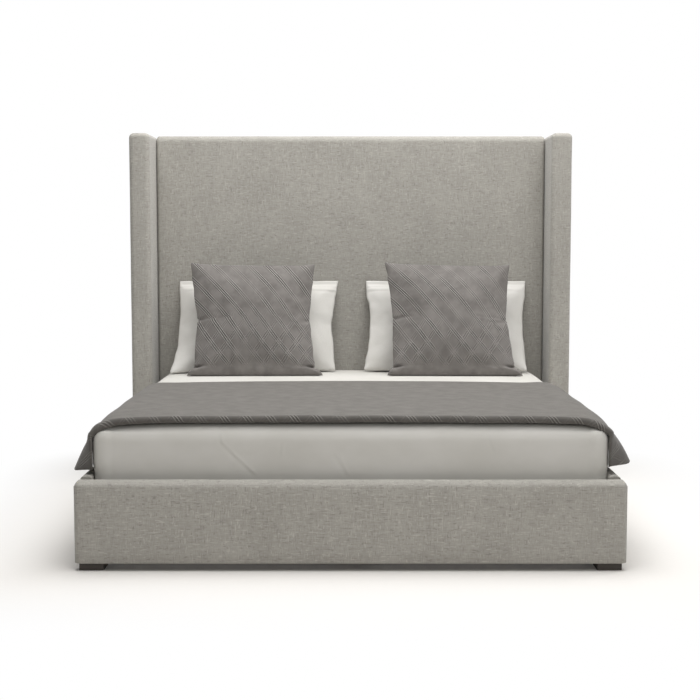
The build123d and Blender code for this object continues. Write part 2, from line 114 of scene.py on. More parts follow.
def two_sided(us, vs, place):
    """Two cloths joined round their edge: points, faces, each point's (u, v), and its number by place."""
    last_u, last_v = len(us) - 1, len(vs) - 1
    verts, shares, index = [], [], {}
    for layer in (0, 1):
        for j, v in enumerate(vs):
            for i, u in enumerate(us):
                if layer == 1 and (i in (0, last_u) or j in (0, last_v)):
                    index[1, i, j] = index[0, i, j]
                    continue
                index[layer, i, j] = len(verts)
                verts.append(place(u, v, layer))
                shares.append((u, v))
    faces = []
    for layer in (0, 1):
        for j in range(last_v):
            for i in range(last_u):
                quad = [index[layer, a, b] for a, b in ((i, j), (i + 1, j), (i + 1, j + 1), (i, j + 1))]
                faces.append(tuple(quad if layer == 0 else quad[::-1]))
    return verts, faces, shares, index


def finish_piece(obj, body, material, node):
    """Let a piece ride on a body in place of a CAD node, with its material."""
    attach(obj, body)
    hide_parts(node)
    obj.data.materials.clear()
    obj.data.materials.append(material)


# Materials

linen_pitch = 0.0022
cotton_pitch = 0.0009
tape_pitch = 0.0024
pleat_gap = 0.0100
pleat_angle = 51.5


def srgb(r, g, b):
    out = []
    for c in (r, g, b):
        c /= 255.0
        out.append(c / 12.92 if c <= 0.04045 else ((c + 0.055) / 1.055) ** 2.4)
    return (*out, 1.0)


class Nodes:
    """A short way to write node trees."""

    def __init__(self, tree):
        self.tree = tree

    def add(self, kind, inputs=(), **values):
        node = self.tree.nodes.new(kind)
        for key, value in values.items():
            setattr(node, key, value)
        for key, value in dict(inputs).items():
            self.put(node.inputs[key], value)
        return node

    def put(self, socket, value):
        if isinstance(value, bpy.types.NodeSocket):
            self.tree.links.new(value, socket)
        else:
            socket.default_value = value

    def maths(self, operation, *values, clamp=False):
        node = self.add("ShaderNodeMath", operation=operation, use_clamp=clamp)
        for socket, value in zip(node.inputs, values):
            self.put(socket, value)
        return node.outputs[0]

    def plus(self, a, b, clamp=False):
        return self.maths("ADD", a, b, clamp=clamp)

    def minus(self, a, b, clamp=False):
        return self.maths("SUBTRACT", a, b, clamp=clamp)

    def times(self, a, b, clamp=False):
        return self.maths("MULTIPLY", a, b, clamp=clamp)

    def larger(self, a, b):
        return self.maths("MAXIMUM", a, b)

    def ramp(self, value, low, high):
        return self.add("ShaderNodeMapRange", {
            "Value": value, "From Min": low, "From Max": high, "To Min": 0.0, "To Max": 1.0,
        }, interpolation_type="SMOOTHSTEP").outputs[0]

    def mix(self, share, a, b):
        return self.add("ShaderNodeMix", {0: share, 6: a, 7: b}, data_type="RGBA").outputs[2]

    def mix_shaders(self, share, a, b, end):
        mixed = self.add("ShaderNodeMixShader", {0: share, 1: a.outputs[0], 2: b.outputs[0]})
        self.put(end.inputs["Surface"], mixed.outputs[0])


class Look(Nodes):
    """A material, with noise, threads and bump at each point's place on its object."""

    def __init__(self, name):
        self.material = bpy.data.materials.new(name)
        self.material.use_nodes = True
        super().__init__(self.material.node_tree)
        self.shader = self.tree.nodes["Principled BSDF"]
        self.output = self.tree.nodes["Material Output"]
        self.place = self.add("ShaderNodeTexCoord").outputs["Object"]

    def set(self, **values):
        for key, value in values.items():
            self.put(self.shader.inputs[key.replace("_", " ")], value)

    def noise(self, scale, detail=2.0, rough=0.5, vector=None):
        return self.add("ShaderNodeTexNoise", {
            "Vector": vector or self.place, "Scale": scale, "Detail": detail, "Roughness": rough,
        }).outputs["Fac"]

    def streaks(self, scales, detail, rough):
        """Noise with a scale of its own along each axis."""
        stretched = self.add("ShaderNodeMapping", {"Vector": self.place, "Scale": scales}).outputs[0]
        return self.noise(1.0, detail, rough, stretched)

    def cells(self, scale):
        return self.add("ShaderNodeTexVoronoi", {"Vector": self.place, "Scale": scale}).outputs["Distance"]

    def threads(self, pitch):
        """A plain weave: crossed ribs one thread apart, on whichever way the surface faces."""
        x, y, z = self.add("ShaderNodeSeparateXYZ", {"Vector": self.place}).outputs
        turn = 2 * math.pi / pitch
        across = self.maths("SINE", self.times(self.plus(x, y), turn))
        along = self.maths("SINE", self.times(self.minus(z, self.times(y, 0.35)), turn))
        return self.times(across, along)

    def bump(self, height, strength, distance, normal=None):
        inputs = {"Height": height, "Strength": strength, "Distance": distance}
        if normal is not None:
            inputs["Normal"] = normal
        return self.add("ShaderNodeBump", inputs).outputs[0]

    def finished(self, *bump):
        """The material, once it has its last bump."""
        self.set(Normal=self.bump(*bump))
        return self.material


def linen(name, dark, middle, light):
    """Slubby linen: long fine threads both ways under sparse light and dark slubs."""
    n = Look(name)
    level = n.streaks((32.0, 32.0, 310.0), 2.0, 0.6)
    upright = n.streaks((320.0, 320.0, 30.0), 2.0, 0.6)
    slub_level = n.streaks((42.0, 42.0, 200.0), 1.0, 0.5)
    slub_upright = n.streaks((200.0, 200.0, 40.0), 1.0, 0.5)
    cloud = n.streaks((7.0, 7.0, 5.0), 2.0, 0.5)
    tone = n.plus(n.times(level, 0.40), n.times(upright, 0.40))
    tone = n.plus(tone, n.times(cloud, 0.20))
    base = n.mix(n.ramp(tone, 0.32, 0.68), dark, light)
    base = n.mix(0.66, base, middle)
    pale = n.larger(n.ramp(slub_level, 0.64, 0.72), n.ramp(slub_upright, 0.65, 0.73))
    dim = n.larger(n.ramp(slub_level, 0.36, 0.28), n.ramp(slub_upright, 0.34, 0.26))
    base = n.mix(n.times(dim, 0.62), base, dark)
    base = n.mix(n.times(pale, 0.55), base, light)
    n.set(Base_Color=base, Roughness=0.92, Sheen_Weight=0.26, Sheen_Roughness=0.45, Specular_IOR_Level=0.25)
    height = n.plus(n.times(n.threads(linen_pitch), 0.35), tone)
    height = n.plus(height, n.times(pale, 0.5))
    return n.finished(height, 0.25, 0.0012)


def cotton(name, colour, shade, wrinkle):
    """Fine pressed cotton with faint creases and a tight weave."""
    n = Look(name)
    soft = n.streaks((3.0, 3.0, 5.0), 3.0, 0.6)
    crease = n.streaks((16.0, 9.0, 22.0), 4.0, 0.6)
    n.set(Base_Color=n.mix(n.ramp(soft, 0.3, 0.7), shade, colour), Roughness=0.85)
    n.set(Sheen_Weight=0.05, Sheen_Roughness=0.5, Specular_IOR_Level=0.2)
    fine = n.bump(n.threads(cotton_pitch), 0.15, 0.0004)
    return n.finished(crease, wrinkle, 0.004, fine)


def pleats(n, u, v, period):
    """Groups of three raised pleats that slant across the cloth: the ribs, and where a group lies."""
    c, s = math.cos(math.radians(pleat_angle)), math.sin(math.radians(pleat_angle))
    across = n.plus(n.times(u, s), n.times(v, c))
    cell = n.minus(n.maths("FRACT", n.maths("DIVIDE", across, period)), 0.5)
    off = n.times(cell, period)
    group = n.minus(1.0, n.ramp(n.maths("ABSOLUTE", off), pleat_gap * 1.38, pleat_gap * 1.52))
    wave = n.maths("COSINE", n.times(off, 2 * math.pi / pleat_gap))
    rib = n.times(n.times(n.plus(wave, 1.0), 0.5), group)
    return rib, group


def quilted(name, colour, dark, light, period, puff=0.004, second=1.0, hem=None, foot=None):
    """Brushed cloth sewn with crossing groups of pleats that leave puffed diamonds between them.

    second is the strength of the groups that slant back. Along hem the pleats grow from faint to full
    toward the hem, and along foot from none. With a hem, the hem and the cloth's side edges are painted
    darker as shade.
    """
    n = Look(name)
    uv = n.add("ShaderNodeUVMap", uv_map="cloth")
    u, v, _ = n.add("ShaderNodeSeparateXYZ", {"Vector": uv.outputs[0]}).outputs
    wandered = n.plus(u, n.times(n.minus(n.noise(6.0, 1.0), 0.5), 0.010))
    cloud = n.noise(16.0, 4.0, 0.6)
    grain = n.noise(420.0, 2.0, 0.6)
    worn = n.ramp(n.noise(7.0, 2.0), 0.36, 0.58)
    firm = n.plus(n.times(worn, 0.65), 0.35)
    rib1, group1 = pleats(n, wandered, v, period)
    rib2, group2 = pleats(n, n.times(wandered, -1.0), v, period)
    weak = n.plus(n.times(n.ramp(v, 0.36, 0.14), 0.75), 0.08)
    weak = n.times(n.times(weak, firm), second)
    if foot is not None:
        clear = n.ramp(v, *foot)
        firm = n.times(firm, clear)
        weak = n.times(weak, clear)
    if hem is not None:
        edge = n.ramp(v, *hem)
        firm = n.times(firm, n.plus(n.times(edge, 0.86), 0.14))
        weak = n.times(weak, edge)
    ribs = n.larger(n.times(rib1, firm), n.times(rib2, weak))
    groups = n.larger(n.times(group1, firm), n.times(group2, weak))
    valley_shade = n.minus(groups, ribs, clamp=True)
    base = n.mix(n.ramp(cloud, 0.25, 0.75), dark, light)
    base = n.mix(0.80, base, colour)
    # Painted shade: the front hem and the hanging side edges of the cloth are darkened where they lie in
    # shade.
    if hem is not None:
        painted_edge_shade = n.larger(edge, n.ramp(n.maths("ABSOLUTE", u), 0.93, 1.02))
        base = n.mix(n.times(painted_edge_shade, 0.60), base, dark)
    # Painted highlight on the raised ribs and painted shade in the valleys beside them.
    base = n.mix(n.times(ribs, 0.72, clamp=True), base, light)
    base = n.mix(n.times(valley_shade, 0.95, clamp=True), base, dark)
    n.set(Base_Color=base, Roughness=0.9, Sheen_Weight=0.15, Sheen_Roughness=0.45, Specular_IOR_Level=0.2)
    fuzz = n.bump(grain, 0.25, 0.0006)
    puffs = n.bump(n.minus(cloud, n.times(groups, 0.5)), 0.45, puff, fuzz)
    return n.finished(ribs, 0.9, 0.0035, puffs)


def timber(name, light, dark, along, rings=24.0, rough=0.55):
    """Sawn softwood or stained hardwood with grain along one axis."""
    n = Look(name)
    scales = [rings * 6.0] * 3
    scales[along] = rings / 6.0
    wander = n.streaks([s / 9.0 for s in scales], 3.0, 0.55)
    fibre = n.streaks(scales, 4.0, 0.6)
    share = n.plus(n.times(n.maths("SINE", n.times(wander, 46.0)), 0.22), fibre, clamp=True)
    n.set(Base_Color=n.mix(share, dark, light), Roughness=n.plus(n.times(fibre, 0.2), rough))
    return n.finished(share, 0.25, 0.0008)


def plywood(name):
    """A birch-faced board with faint cathedral grain."""
    n = Look(name)
    wander = n.streaks((3.0, 3.0, 14.0), 3.0, 0.6)
    fibre = n.streaks((12.0, 40.0, 260.0), 3.0, 0.6)
    share = n.plus(n.times(n.maths("SINE", n.times(wander, 60.0)), 0.15), fibre, clamp=True)
    n.set(Base_Color=n.mix(share, srgb(176, 142, 98), srgb(214, 187, 146)), Roughness=0.6)
    return n.finished(share, 0.2, 0.0005)


def foam(name):
    """Open-cell upholstery foam."""
    n = Look(name)
    cells = n.cells(420.0)
    n.set(Base_Color=n.mix(cells, srgb(206, 196, 152), srgb(232, 225, 190)), Roughness=0.95)
    return n.finished(cells, 0.4, 0.0008)


def metal(name, colour, rough, scratch):
    """Zinc or blackened steel with fine drawn marks."""
    n = Look(name)
    marks = n.streaks((60.0, 60.0, 900.0), 2.0, 0.6)
    darker = tuple(c * 0.8 for c in colour[:3]) + (1.0,)
    n.set(Base_Color=n.mix(n.noise(40.0, 3.0), darker, colour), Metallic=1.0)
    n.set(Roughness=n.plus(n.times(marks, scratch), rough))
    return n.finished(marks, 0.08, 0.0003)


def webbing(name):
    """Woven tape."""
    n = Look(name)
    weave = n.threads(tape_pitch)
    n.set(Base_Color=n.mix(n.ramp(weave, -1.0, 1.0), srgb(196, 190, 176), srgb(232, 228, 216)), Roughness=0.9)
    return n.finished(weave, 0.5, 0.0008)


def dust_cloth(name):
    """Thin black non-woven cloth stapled over the back."""
    n = Look(name)
    felt = n.noise(700.0, 3.0, 0.7)
    n.set(Base_Color=n.mix(felt, srgb(34, 34, 35), srgb(62, 61, 60)), Roughness=0.95)
    return n.finished(n.plus(felt, n.cells(330.0)), 0.4, 0.0006)


bed_linen = linen("bed_linen", srgb(134, 131, 125), srgb(163, 160, 153), srgb(194, 191, 184))
white_sheet = cotton("sheet_cotton", srgb(206, 204, 199), srgb(198, 196, 190), wrinkle=0.12)
white_slip = cotton("pillow_cotton", srgb(213, 211, 207), srgb(206, 204, 199), wrinkle=0.25)
ticking = cotton("mattress_ticking", srgb(214, 211, 202), srgb(200, 197, 188), wrinkle=0.3)
throw_cloth = quilted("throw_cloth", srgb(100, 97, 93), srgb(80, 77, 74), srgb(142, 139, 134), 0.069,
                      puff=0.0012, second=0.30, hem=(-1.270, -1.315))
cushion_cloth = quilted("cushion_cloth", srgb(114, 110, 107), srgb(73, 70, 67), srgb(170, 166, 162), 0.071,
                        foot=(0.040, 0.075))
pine_x = timber("pine_x", srgb(214, 184, 138), srgb(182, 146, 98), along=0)
pine_y = timber("pine_y", srgb(212, 182, 136), srgb(180, 144, 96), along=1)
pine_z = timber("pine_z", srgb(210, 180, 134), srgb(178, 142, 94), along=2)
dark_wood = timber("dark_wood", srgb(66, 59, 52), srgb(42, 37, 32), along=0, rings=30.0, rough=0.4)
board_wood = plywood("board_wood")
foam_look = foam("foam_look")
zinc = metal("zinc_steel", srgb(188, 190, 192), rough=0.32, scratch=0.3)
black_steel = metal("black_steel", srgb(52, 52, 54), rough=0.45, scratch=0.2)
tape = webbing("ribbon_tape")
back_look = dust_cloth("dust_cloth")


# Padded blocks

def ticks(low, high, r_low, r_high, step):
    """Places across one side of a block, close together in its rounds."""
    turns = 6
    quarter = math.radians(45)
    shares = [1 - math.tan(quarter * (1 - i / turns)) for i in range(turns)]
    start, end = low + r_low, high - r_high
    middle = even(start, end, max(1, round((end - start) / step)))
    return [low + r_low * s for s in shares] + middle + [high - r_high * s for s in shares[::-1]]


def block_grid(xs, ys, zs):
    """The shell of a block cut at the given places, with shared corners."""
    last = (len(xs) - 1, len(ys) - 1, len(zs) - 1)
    corners = ((0, 0), (1, 0), (1, 1), (0, 1))
    index, faces = {}, []
    for fixed, a, b in ((1, 0, 2), (0, 1, 2), (2, 0, 1)):
        near, far = (corners, corners[::-1]) if fixed == 1 else (corners[::-1], corners)
        for i in range(last[a]):
            for j in range(last[b]):
                for end, order in ((0, near), (last[fixed], far)):
                    face = []
                    for u, v in order:
                        corner = [end] * 3
                        corner[a], corner[b] = i + u, j + v
                        face.append(index.setdefault(tuple(corner), len(index)))
                    faces.append(tuple(face))
    return [(xs[i], ys[j], zs[k]) for i, j, k in index], faces


def rounded(v, low, high, radii, base_radius):
    """Where a point of a square block lies once its edges are rounded, and which way it faces there."""
    kept, away, rounds = [], [], []
    for axis in range(3):
        r_low = base_radius if axis == 2 else radii[axis]
        c = min(max(v[axis], low[axis] + r_low), high[axis] - radii[axis])
        r = r_low if v[axis] < c else radii[axis]
        kept.append(c)
        away.append((v[axis] - c) / r)
        rounds.append(r)
    n = Vector(away).normalized()
    return Vector(kept[a] + n[a] * rounds[a] for a in range(3)), n


def round_block(low, high, radii, base_radius, steps, lift):
    """Square points, points moved out by lift(point, normal) once rounded, and faces of a block."""
    base_radii = (radii[0], radii[1], base_radius)
    places = [ticks(low[a], high[a], base_radii[a], radii[a], steps[a]) for a in range(3)]
    verts, faces = block_grid(*places)
    out = []
    for v in verts:
        p, n = rounded(v, low, high, radii, base_radius)
        out.append(p + n * lift(p, n))
    return verts, out, faces


def padded_block(name, low, high, radii, base_radius, step, lift):
    _, verts, faces = round_block(low, high, radii, base_radius, (step, step, step), lift)
    return mesh_piece(name, verts, faces)


def crown(p, low, high, axes):
    """1 in the middle of a face and 0 at its edges, along the given axes."""
    share = 1.0
    for a in axes:
        t = (p[a] - low[a]) / (high[a] - low[a]) * 2 - 1
        share *= max(0.0, 1 - abs(t) ** 3)
    return share


def upholster(panel, node):
    """Put a padded panel in the bed's linen on the bed frame, in place of the cover node it stands for."""
    finish_piece(panel, "bed_frame", bed_linen, node)


# How far the padding stands out in the middle of a face, how uneven it is, and the size of a mesh cell
broad_crown = 0.0022
rail_crown = 0.0020
wing_crown = 0.0018
broad_ripple = 0.0006
small_ripple = 0.0007
panel_step = 0.045

# Headboard panel, with a shallow recess behind for the back cloth
hb_low, hb_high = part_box("headboard_cover")
recess = 0.0035
recess_margin = 0.022


def headboard_lift(p, n):
    if n.y < -0.5:
        return broad_crown * crown(p, hb_low, hb_high, (0, 2)) + broad_ripple * wavy(*p, 5.0, 3.0)
    if n.z > 0.5:
        return 0.0008 + broad_ripple * wavy(p.x, 0.0, 0.0, 7.0, 8.0)
    inside = abs(p.x) < hb_high.x - recess_margin and hb_low.z + 0.02 < p.z < hb_high.z - recess_margin
    return -recess if n.y > 0.9 and inside else 0.0


headboard = padded_block("headboard_panel", hb_low, hb_high, (0.018, 0.027, 0.033), 0.004, panel_step,
                         headboard_lift)
upholster(headboard, "headboard_cover")

# Wings, flat on the side that faces the headboard
wing_round = 0.025
for side, sign in both_sides:
    w_low, w_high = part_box(f"wing_{side}_cover")

    def wing_lift(p, n):
        ripple = small_ripple * wavy(*p, 6.0, 11.0 + sign)
        if n.x * sign < -0.5:
            return 0.0
        if n.y < -0.5:
            return wing_crown * crown(p, w_low, w_high, (0, 2)) + ripple
        if abs(n.x) > 0.5:
            return wing_crown * crown(p, w_low, w_high, (1, 2)) + ripple
        return 0.3 * ripple

    wing = padded_block(f"wing_{side}_panel", w_low, w_high, (wing_round,) * 3, 0.004, panel_step, wing_lift)
    upholster(wing, f"wing_{side}_cover")

# Footboard, its top edge pressed down
fb_low, fb_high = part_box("footboard_cover")
top_pressed = 0.0060


def footboard_lift(p, n):
    ripple = small_ripple * wavy(*p, 6.0, 21.0)
    if n.y < -0.5 and n.z < 0.05:
        return broad_crown * crown(p, fb_low, fb_high, (0, 2)) + ripple
    if n.z > 0.05:
        return ripple - top_pressed * smooth((n.z - 0.05) / 0.8)
    if abs(n.x) > 0.5:
        return 0.0025 * abs(n.x)
    return 0.0


footboard = padded_block("footboard_panel", fb_low, fb_high, (0.020, 0.0295, 0.030), 0.003, 0.04,
                         footboard_lift)
upholster(footboard, "footboard_cover")

# Side rails, whose ends stay square against the footboard and headboard
rail_round = 0.012
for side, sign in both_sides:
    r_low, r_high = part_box(f"side_rail_{side}_cover")

    def rail_lift(p, n):
        if n.x * sign > 0.5:
            return rail_crown * crown(p, r_low, r_high, (2,)) + small_ripple * wavy(*p, 6.0, 31.0 + sign)
        if n.z > 0.5:
            return broad_ripple * wavy(*p, 6.0, 31.0 + sign)
        return 0.0

    rail = padded_block(f"side_rail_{side}_panel", r_low, r_high, (rail_round,) * 3, 0.008, panel_step,
                        rail_lift)
    for v in rail.data.vertices:
        if min(v.co.y - r_low.y, r_high.y - v.co.y) < rail_round:
            v.co.y = r_low.y if v.co.y < 0 else r_high.y
    upholster(rail, f"side_rail_{side}_cover")

# Back cloth: a thin sheet stretched over the ladder frame, sagging a little inside its edges
bc_low, bc_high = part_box("headboard_back_cloth")


def back_cloth_mesh():
    rows, cols, thickness = 44, 48, 0.0008
    row, layer = cols + 1, (rows + 1) * (cols + 1)
    verts, faces, uvs = [], [], []
    for face_y in (bc_high.y, bc_high.y - thickness):
        for r in range(rows + 1):
            for c in range(cols + 1):
                x = lerp(bc_low.x, bc_high.x, c / cols)
                z = lerp(bc_low.z, bc_high.z, r / rows)
                inward = min(c, cols - c, r, rows - r, 3)
                verts.append((x, face_y - 0.0004 * (1 + wavy(x, 0.0, z, 4.0, 5.0)) * inward / 3, z))
                uvs.append((x, z))
    for r in range(rows):
        for c in range(cols):
            a = r * row + c
            b = a + layer
            faces.append((a + 1, a, a + row, a + row + 1))
            faces.append((b, b + 1, b + row + 1, b + row))
    ring = list(range(cols + 1))
    ring += [r * row + cols for r in range(1, rows + 1)]
    ring += [rows * row + c for c in range(cols - 1, -1, -1)]
    ring += [r * row for r in range(rows - 1, 0, -1)]
    faces += [(a, b, b + layer, a + layer) for a, b in zip(ring, ring[1:] + ring[:1])]
    return mesh_piece("back_cloth_sheet", verts, faces, uvs)


back_cloth = back_cloth_mesh()
finish_piece(back_cloth, "bed_frame", back_look, "headboard_back_cloth")


# Mattress and fitted sheet

m_low, m_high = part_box("mattress")
s_low, s_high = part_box("fitted_sheet")
sheet_top = s_high.z
sheet_round = 0.072
sheet_base_round = 0.027
sheet_tuck = 0.12
side_bulge = 0.008
side_bulge_low = 0.002
corner_bulge = 0.013
rail_top = 0.350
crown_half = 0.905


def bed_drop(x, y):
    """How far the bed's top falls below its highest line: a slight crown, rounder toward the foot."""
    side = min(abs(x), crown_half) / crown_half
    along = abs(y - (s_low.y + s_high.y) / 2) / ((s_high.y - s_low.y) / 2)
    foot = smooth(1 - (y - s_low.y - 0.02) / 0.30)
    return 0.002 * side ** 2 + (0.0025 + 0.006 * foot) * side ** 8 + 0.002 * along ** 4


def mattress_lift(p, n):
    return -bed_drop(p.x, p.y) * n.z if n.z > 0.5 else 0.0


mattress = padded_block("mattress_body", m_low, m_high, (0.07, 0.07, 0.07), 0.025, 0.06, mattress_lift)
finish_piece(mattress, "mattress", ticking, "mattress")

# Creases in the front of the sheet, as lines from point to point on the front face (x, z, x, z, depth)
creases = (
    (-0.489, 0.522, -0.480, 0.474, 0.0010),
    (-0.480, 0.474, -0.432, 0.425, 0.0013),
    (-0.432, 0.425, -0.372, 0.368, 0.0013),
    (-0.372, 0.368, -0.352, 0.350, 0.0010),
    (-0.252, 0.470, -0.257, 0.428, 0.0007),
    (-0.052, 0.425, -0.014, 0.360, 0.0010),
    (-0.038, 0.425, -0.008, 0.355, 0.0008),
    (0.520, 0.500, 0.545, 0.440, 0.0005),
)


def crease_depth(x, z):
    """Each crease is a narrow ridge with a wider, shallower dip beside it."""
    total = 0.0
    for x0, z0, x1, z1, depth in creases:
        dx, dz = x1 - x0, z1 - z0
        length = math.hypot(dx, dz)
        t = ((x - x0) * dx + (z - z0) * dz) / length ** 2
        away = ((x - x0) * dz - (z - z0) * dx) / length
        fade = smooth(min(t + 0.25, 1.25 - t) * 3.0)
        total += depth * fade * (bell(away, 0.0, 0.0045) - 0.7 * bell(away, 0.010, 0.007))
    return total


def sheet_lift(p, n):
    value = 0.0
    if n.z > 0.5:
        value -= bed_drop(p.x, p.y) * n.z
        value += 0.0008 * wavy(p.x, p.y, 0.0, 4.0, 41.0) * n.z
    if abs(n.x) > 0.2:
        above = smooth((p.z - rail_top) / 0.040)
        value += (side_bulge_low + (side_bulge - side_bulge_low) * above) * abs(n.x)
    if n.y < 0.0:
        value += corner_bulge * (2 * abs(n.x * n.y)) ** 1.5
    if n.y < -0.3:
        value += crease_depth(p.x, p.z) * min(1.0, -n.y * 1.2)
        value += 0.0012 * wavy(p.x, 0.0, p.z * 2.2, 3.5, 47.0)
    return value


def fitted_sheet():
    """One skin round the mattress, open below where it isn't drawn in under it."""
    low, high = s_low, s_high
    square, out, faces = round_block(low, high, (sheet_round,) * 3, sheet_base_round, (0.005, 0.040, 0.006),
                                     sheet_lift)
    kept = []
    for f in faces:
        x, y, z = (sum(square[i][a] for i in f) / 4 for a in range(3))
        inside = low.x + sheet_tuck < x < high.x - sheet_tuck and low.y + sheet_tuck < y < high.y - sheet_tuck
        if not (z < low.z + 1e-6 and inside):
            kept.append(f)
    faces, out = keep_used(kept, out)
    return mesh_piece("fitted_sheet_cloth", out, faces)


sheet = fitted_sheet()
finish_piece(sheet, "mattress", white_sheet, "fitted_sheet")


# Throw

throw_low, throw_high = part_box("throw")
front_end, back_edge = throw_low.y, throw_high.y
length = back_edge - front_end
shoulder = 0.895
skirt = 0.262
half_cloth = shoulder + skirt
round_height = sheet_top - sheet_round
quilt_thickness = 0.0085
hem_extra = 0.0175
side_edge = 0.005
front_edge = 0.013
back_round = 0.0045
drape_step = 0.004
drape_angle = math.radians(69.0)
drape_turn = 0.086
fold_pitch = 0.33
fold_depth = 0.008

# What differs between the hanging sides: the folds' phase, how far the side stands out below and at its
# shoulder, how far the shoulder rises behind, and how far the tip, the front and a place behind are drawn up
hanging = {
    -1.0: Form(phase=0.0, out=-0.006, flare=0.020, rise=0.003, tip=0.026, front=-0.009, behind_tip=0.0),
    1.0: Form(phase=0.5, out=0.006, flare=0.032, rise=0.006, tip=0.004, front=0.018, behind_tip=0.008),
}


def drape_path():
    """The throw's under side from the shoulder down: place along, place out, height and angle."""
    x, z, u = shoulder, 0.0, 0.0
    points = [(u, x, z, 0.0)]
    while u < skirt - 1e-9:
        u += drape_step
        angle = drape_angle * (1 - math.exp(-u / drape_turn))
        x += math.cos(angle) * drape_step
        z -= math.sin(angle) * drape_step
        points.append((u, x, z, angle))
    return points


drape = drape_path()


def back_line(x):
    """Where the throw's back edge lies at a place across the bed."""
    return back_edge - 0.012 - 0.058 * min(1.0, abs(x)) ** 2.2 + 0.004 * math.sin(x * 5.0 + 0.6)


def sheet_reach(y):
    """How far the sheet's rounded edge stands out from the shoulder, less at its front corners."""
    corner = max(0.0, s_low.y + sheet_round - y)
    far = sheet_round + side_bulge
    for _ in range(4):
        back = min(corner / far, 0.95)
        out = math.sqrt(1 - back * back)
        far = sheet_round + side_bulge * out + corner_bulge * (2 * out * back) ** 1.5
    return far * out


def clear_of_sheet(x, y, z, drop):
    """Push a point of the hanging side out of the mattress' rounded edge."""
    reach = sheet_reach(y)
    if z < round_height:
        return max(x, shoulder + reach + 0.003), z
    dx, dz = x - shoulder, z - round_height
    far = max(math.hypot(dx, dz), 1e-6)
    corner = max(0.0, s_low.y + sheet_round - y)
    up = math.sqrt(max(sheet_round ** 2 - corner ** 2, 0.0004))
    least = up * (dz / far) ** 2 + reach * (dx / far) ** 2 + 0.0015 - drop * dz / far
    if dx <= 0 or far >= least:
        return x, z
    return shoulder + dx * least / far, round_height + dz * least / far


def throw_point(a, t):
    """Under side of the throw, at a across the cloth from its middle and t from 0 behind to 1 in front."""
    sign = -1.0 if a < 0 else 1.0
    form = hanging[sign]
    u = max(0.0, abs(a) - shoulder)
    x, z, angle = (abs(a), 0.0, 0.0) if u == 0.0 else table_at(drape, u, eased=False)
    inset = 0.0022 * (1 + wavy(a, 0.0, 0.0, 3.5, 82.0))
    y = lerp(back_line(x), front_end + inset, t)
    drop = bed_drop(min(x, crown_half), y)
    from_front = y - front_end
    down = smooth(u / skirt)
    level = 1 - down
    hem = smooth(1 - from_front / 0.045)
    behind = smooth(from_front / 0.26)

    # lying on the bed: just above the sheet, its hem sagging over the front edge
    z += sheet_top + 0.0010 - drop
    z += (0.0022 * (1 + wavy(a, 0.0, 0.0, 5.0, 60.0)) - 0.0040) * hem * level
    z += 0.0008 * (1 + wavy(a, y, 0.0, 4.0, 61.0)) * (1 - hem) * level
    z += form.rise * behind * smooth((abs(a) - 0.80) / 0.12) * level
    z -= 0.011 * smooth((abs(a) - 0.86) / 0.09) * hem * level

    # hanging at the side: folds, the fuller shoulder behind, and the front corner held to the mattress
    wave = math.cos(2 * math.pi * (from_front - 0.07) / fold_pitch + form.phase)
    fold = fold_depth * down * (wave - 0.45) + 0.005 * down * wavy(sign, y, 0.0, 5.0, 3.0)
    x += fold + form.out * down
    x += (form.flare * behind - 0.004) * smooth(u / 0.06) * (1 - 0.6 * down)
    near = bell(max(0.0, from_front - 0.010), 0.0, 0.050)
    held = shoulder + sheet_reach(y) + 0.0035
    if x > held:
        x = lerp(x, held, near * smooth((u - 0.03) / 0.10))
    z += down * bell(from_front, 0.0, 0.075) * form.tip + 0.004 * down * math.sin(from_front * 11.0 + sign)
    z += down * form.front * bell(from_front, 0.0, 0.30)
    z += down * form.behind_tip * bell(from_front, 0.13, 0.06)
    if u > 0.0:
        x, z = clear_of_sheet(x, y, z, drop)
    turn = math.radians(60.0) * smooth(u / 0.12) * bell(from_front, 0.0, 0.06)
    lean = math.sin(angle)
    normal = Vector((sign * lean * math.cos(turn), -lean * math.sin(turn), math.cos(angle)))
    return Vector((sign * x, y, z)), normal.normalized()


def rounded_places(total, edge, step, turns=5):
    """Places along a length that crowd toward both ends."""
    near = [edge * (1 - math.cos(math.pi / 2 * i / turns)) for i in range(turns)]
    middle = even(edge, total - edge, max(1, round((total - 2 * edge) / step)))
    return near + middle + [total - v for v in near[::-1]]


def throw_thickness(a, from_front):
    """Full thickness of the quilt before its edges are rounded: more in its rolled hem."""
    hem = smooth(1 - (from_front - 0.012) / 0.075)
    hangs = smooth((abs(a) - shoulder) / skirt)
    return quilt_thickness + (hem_extra - 0.007 * hangs + 0.002 * wavy(a, 0.0, 0.0, 6.0, 71.0)) * hem


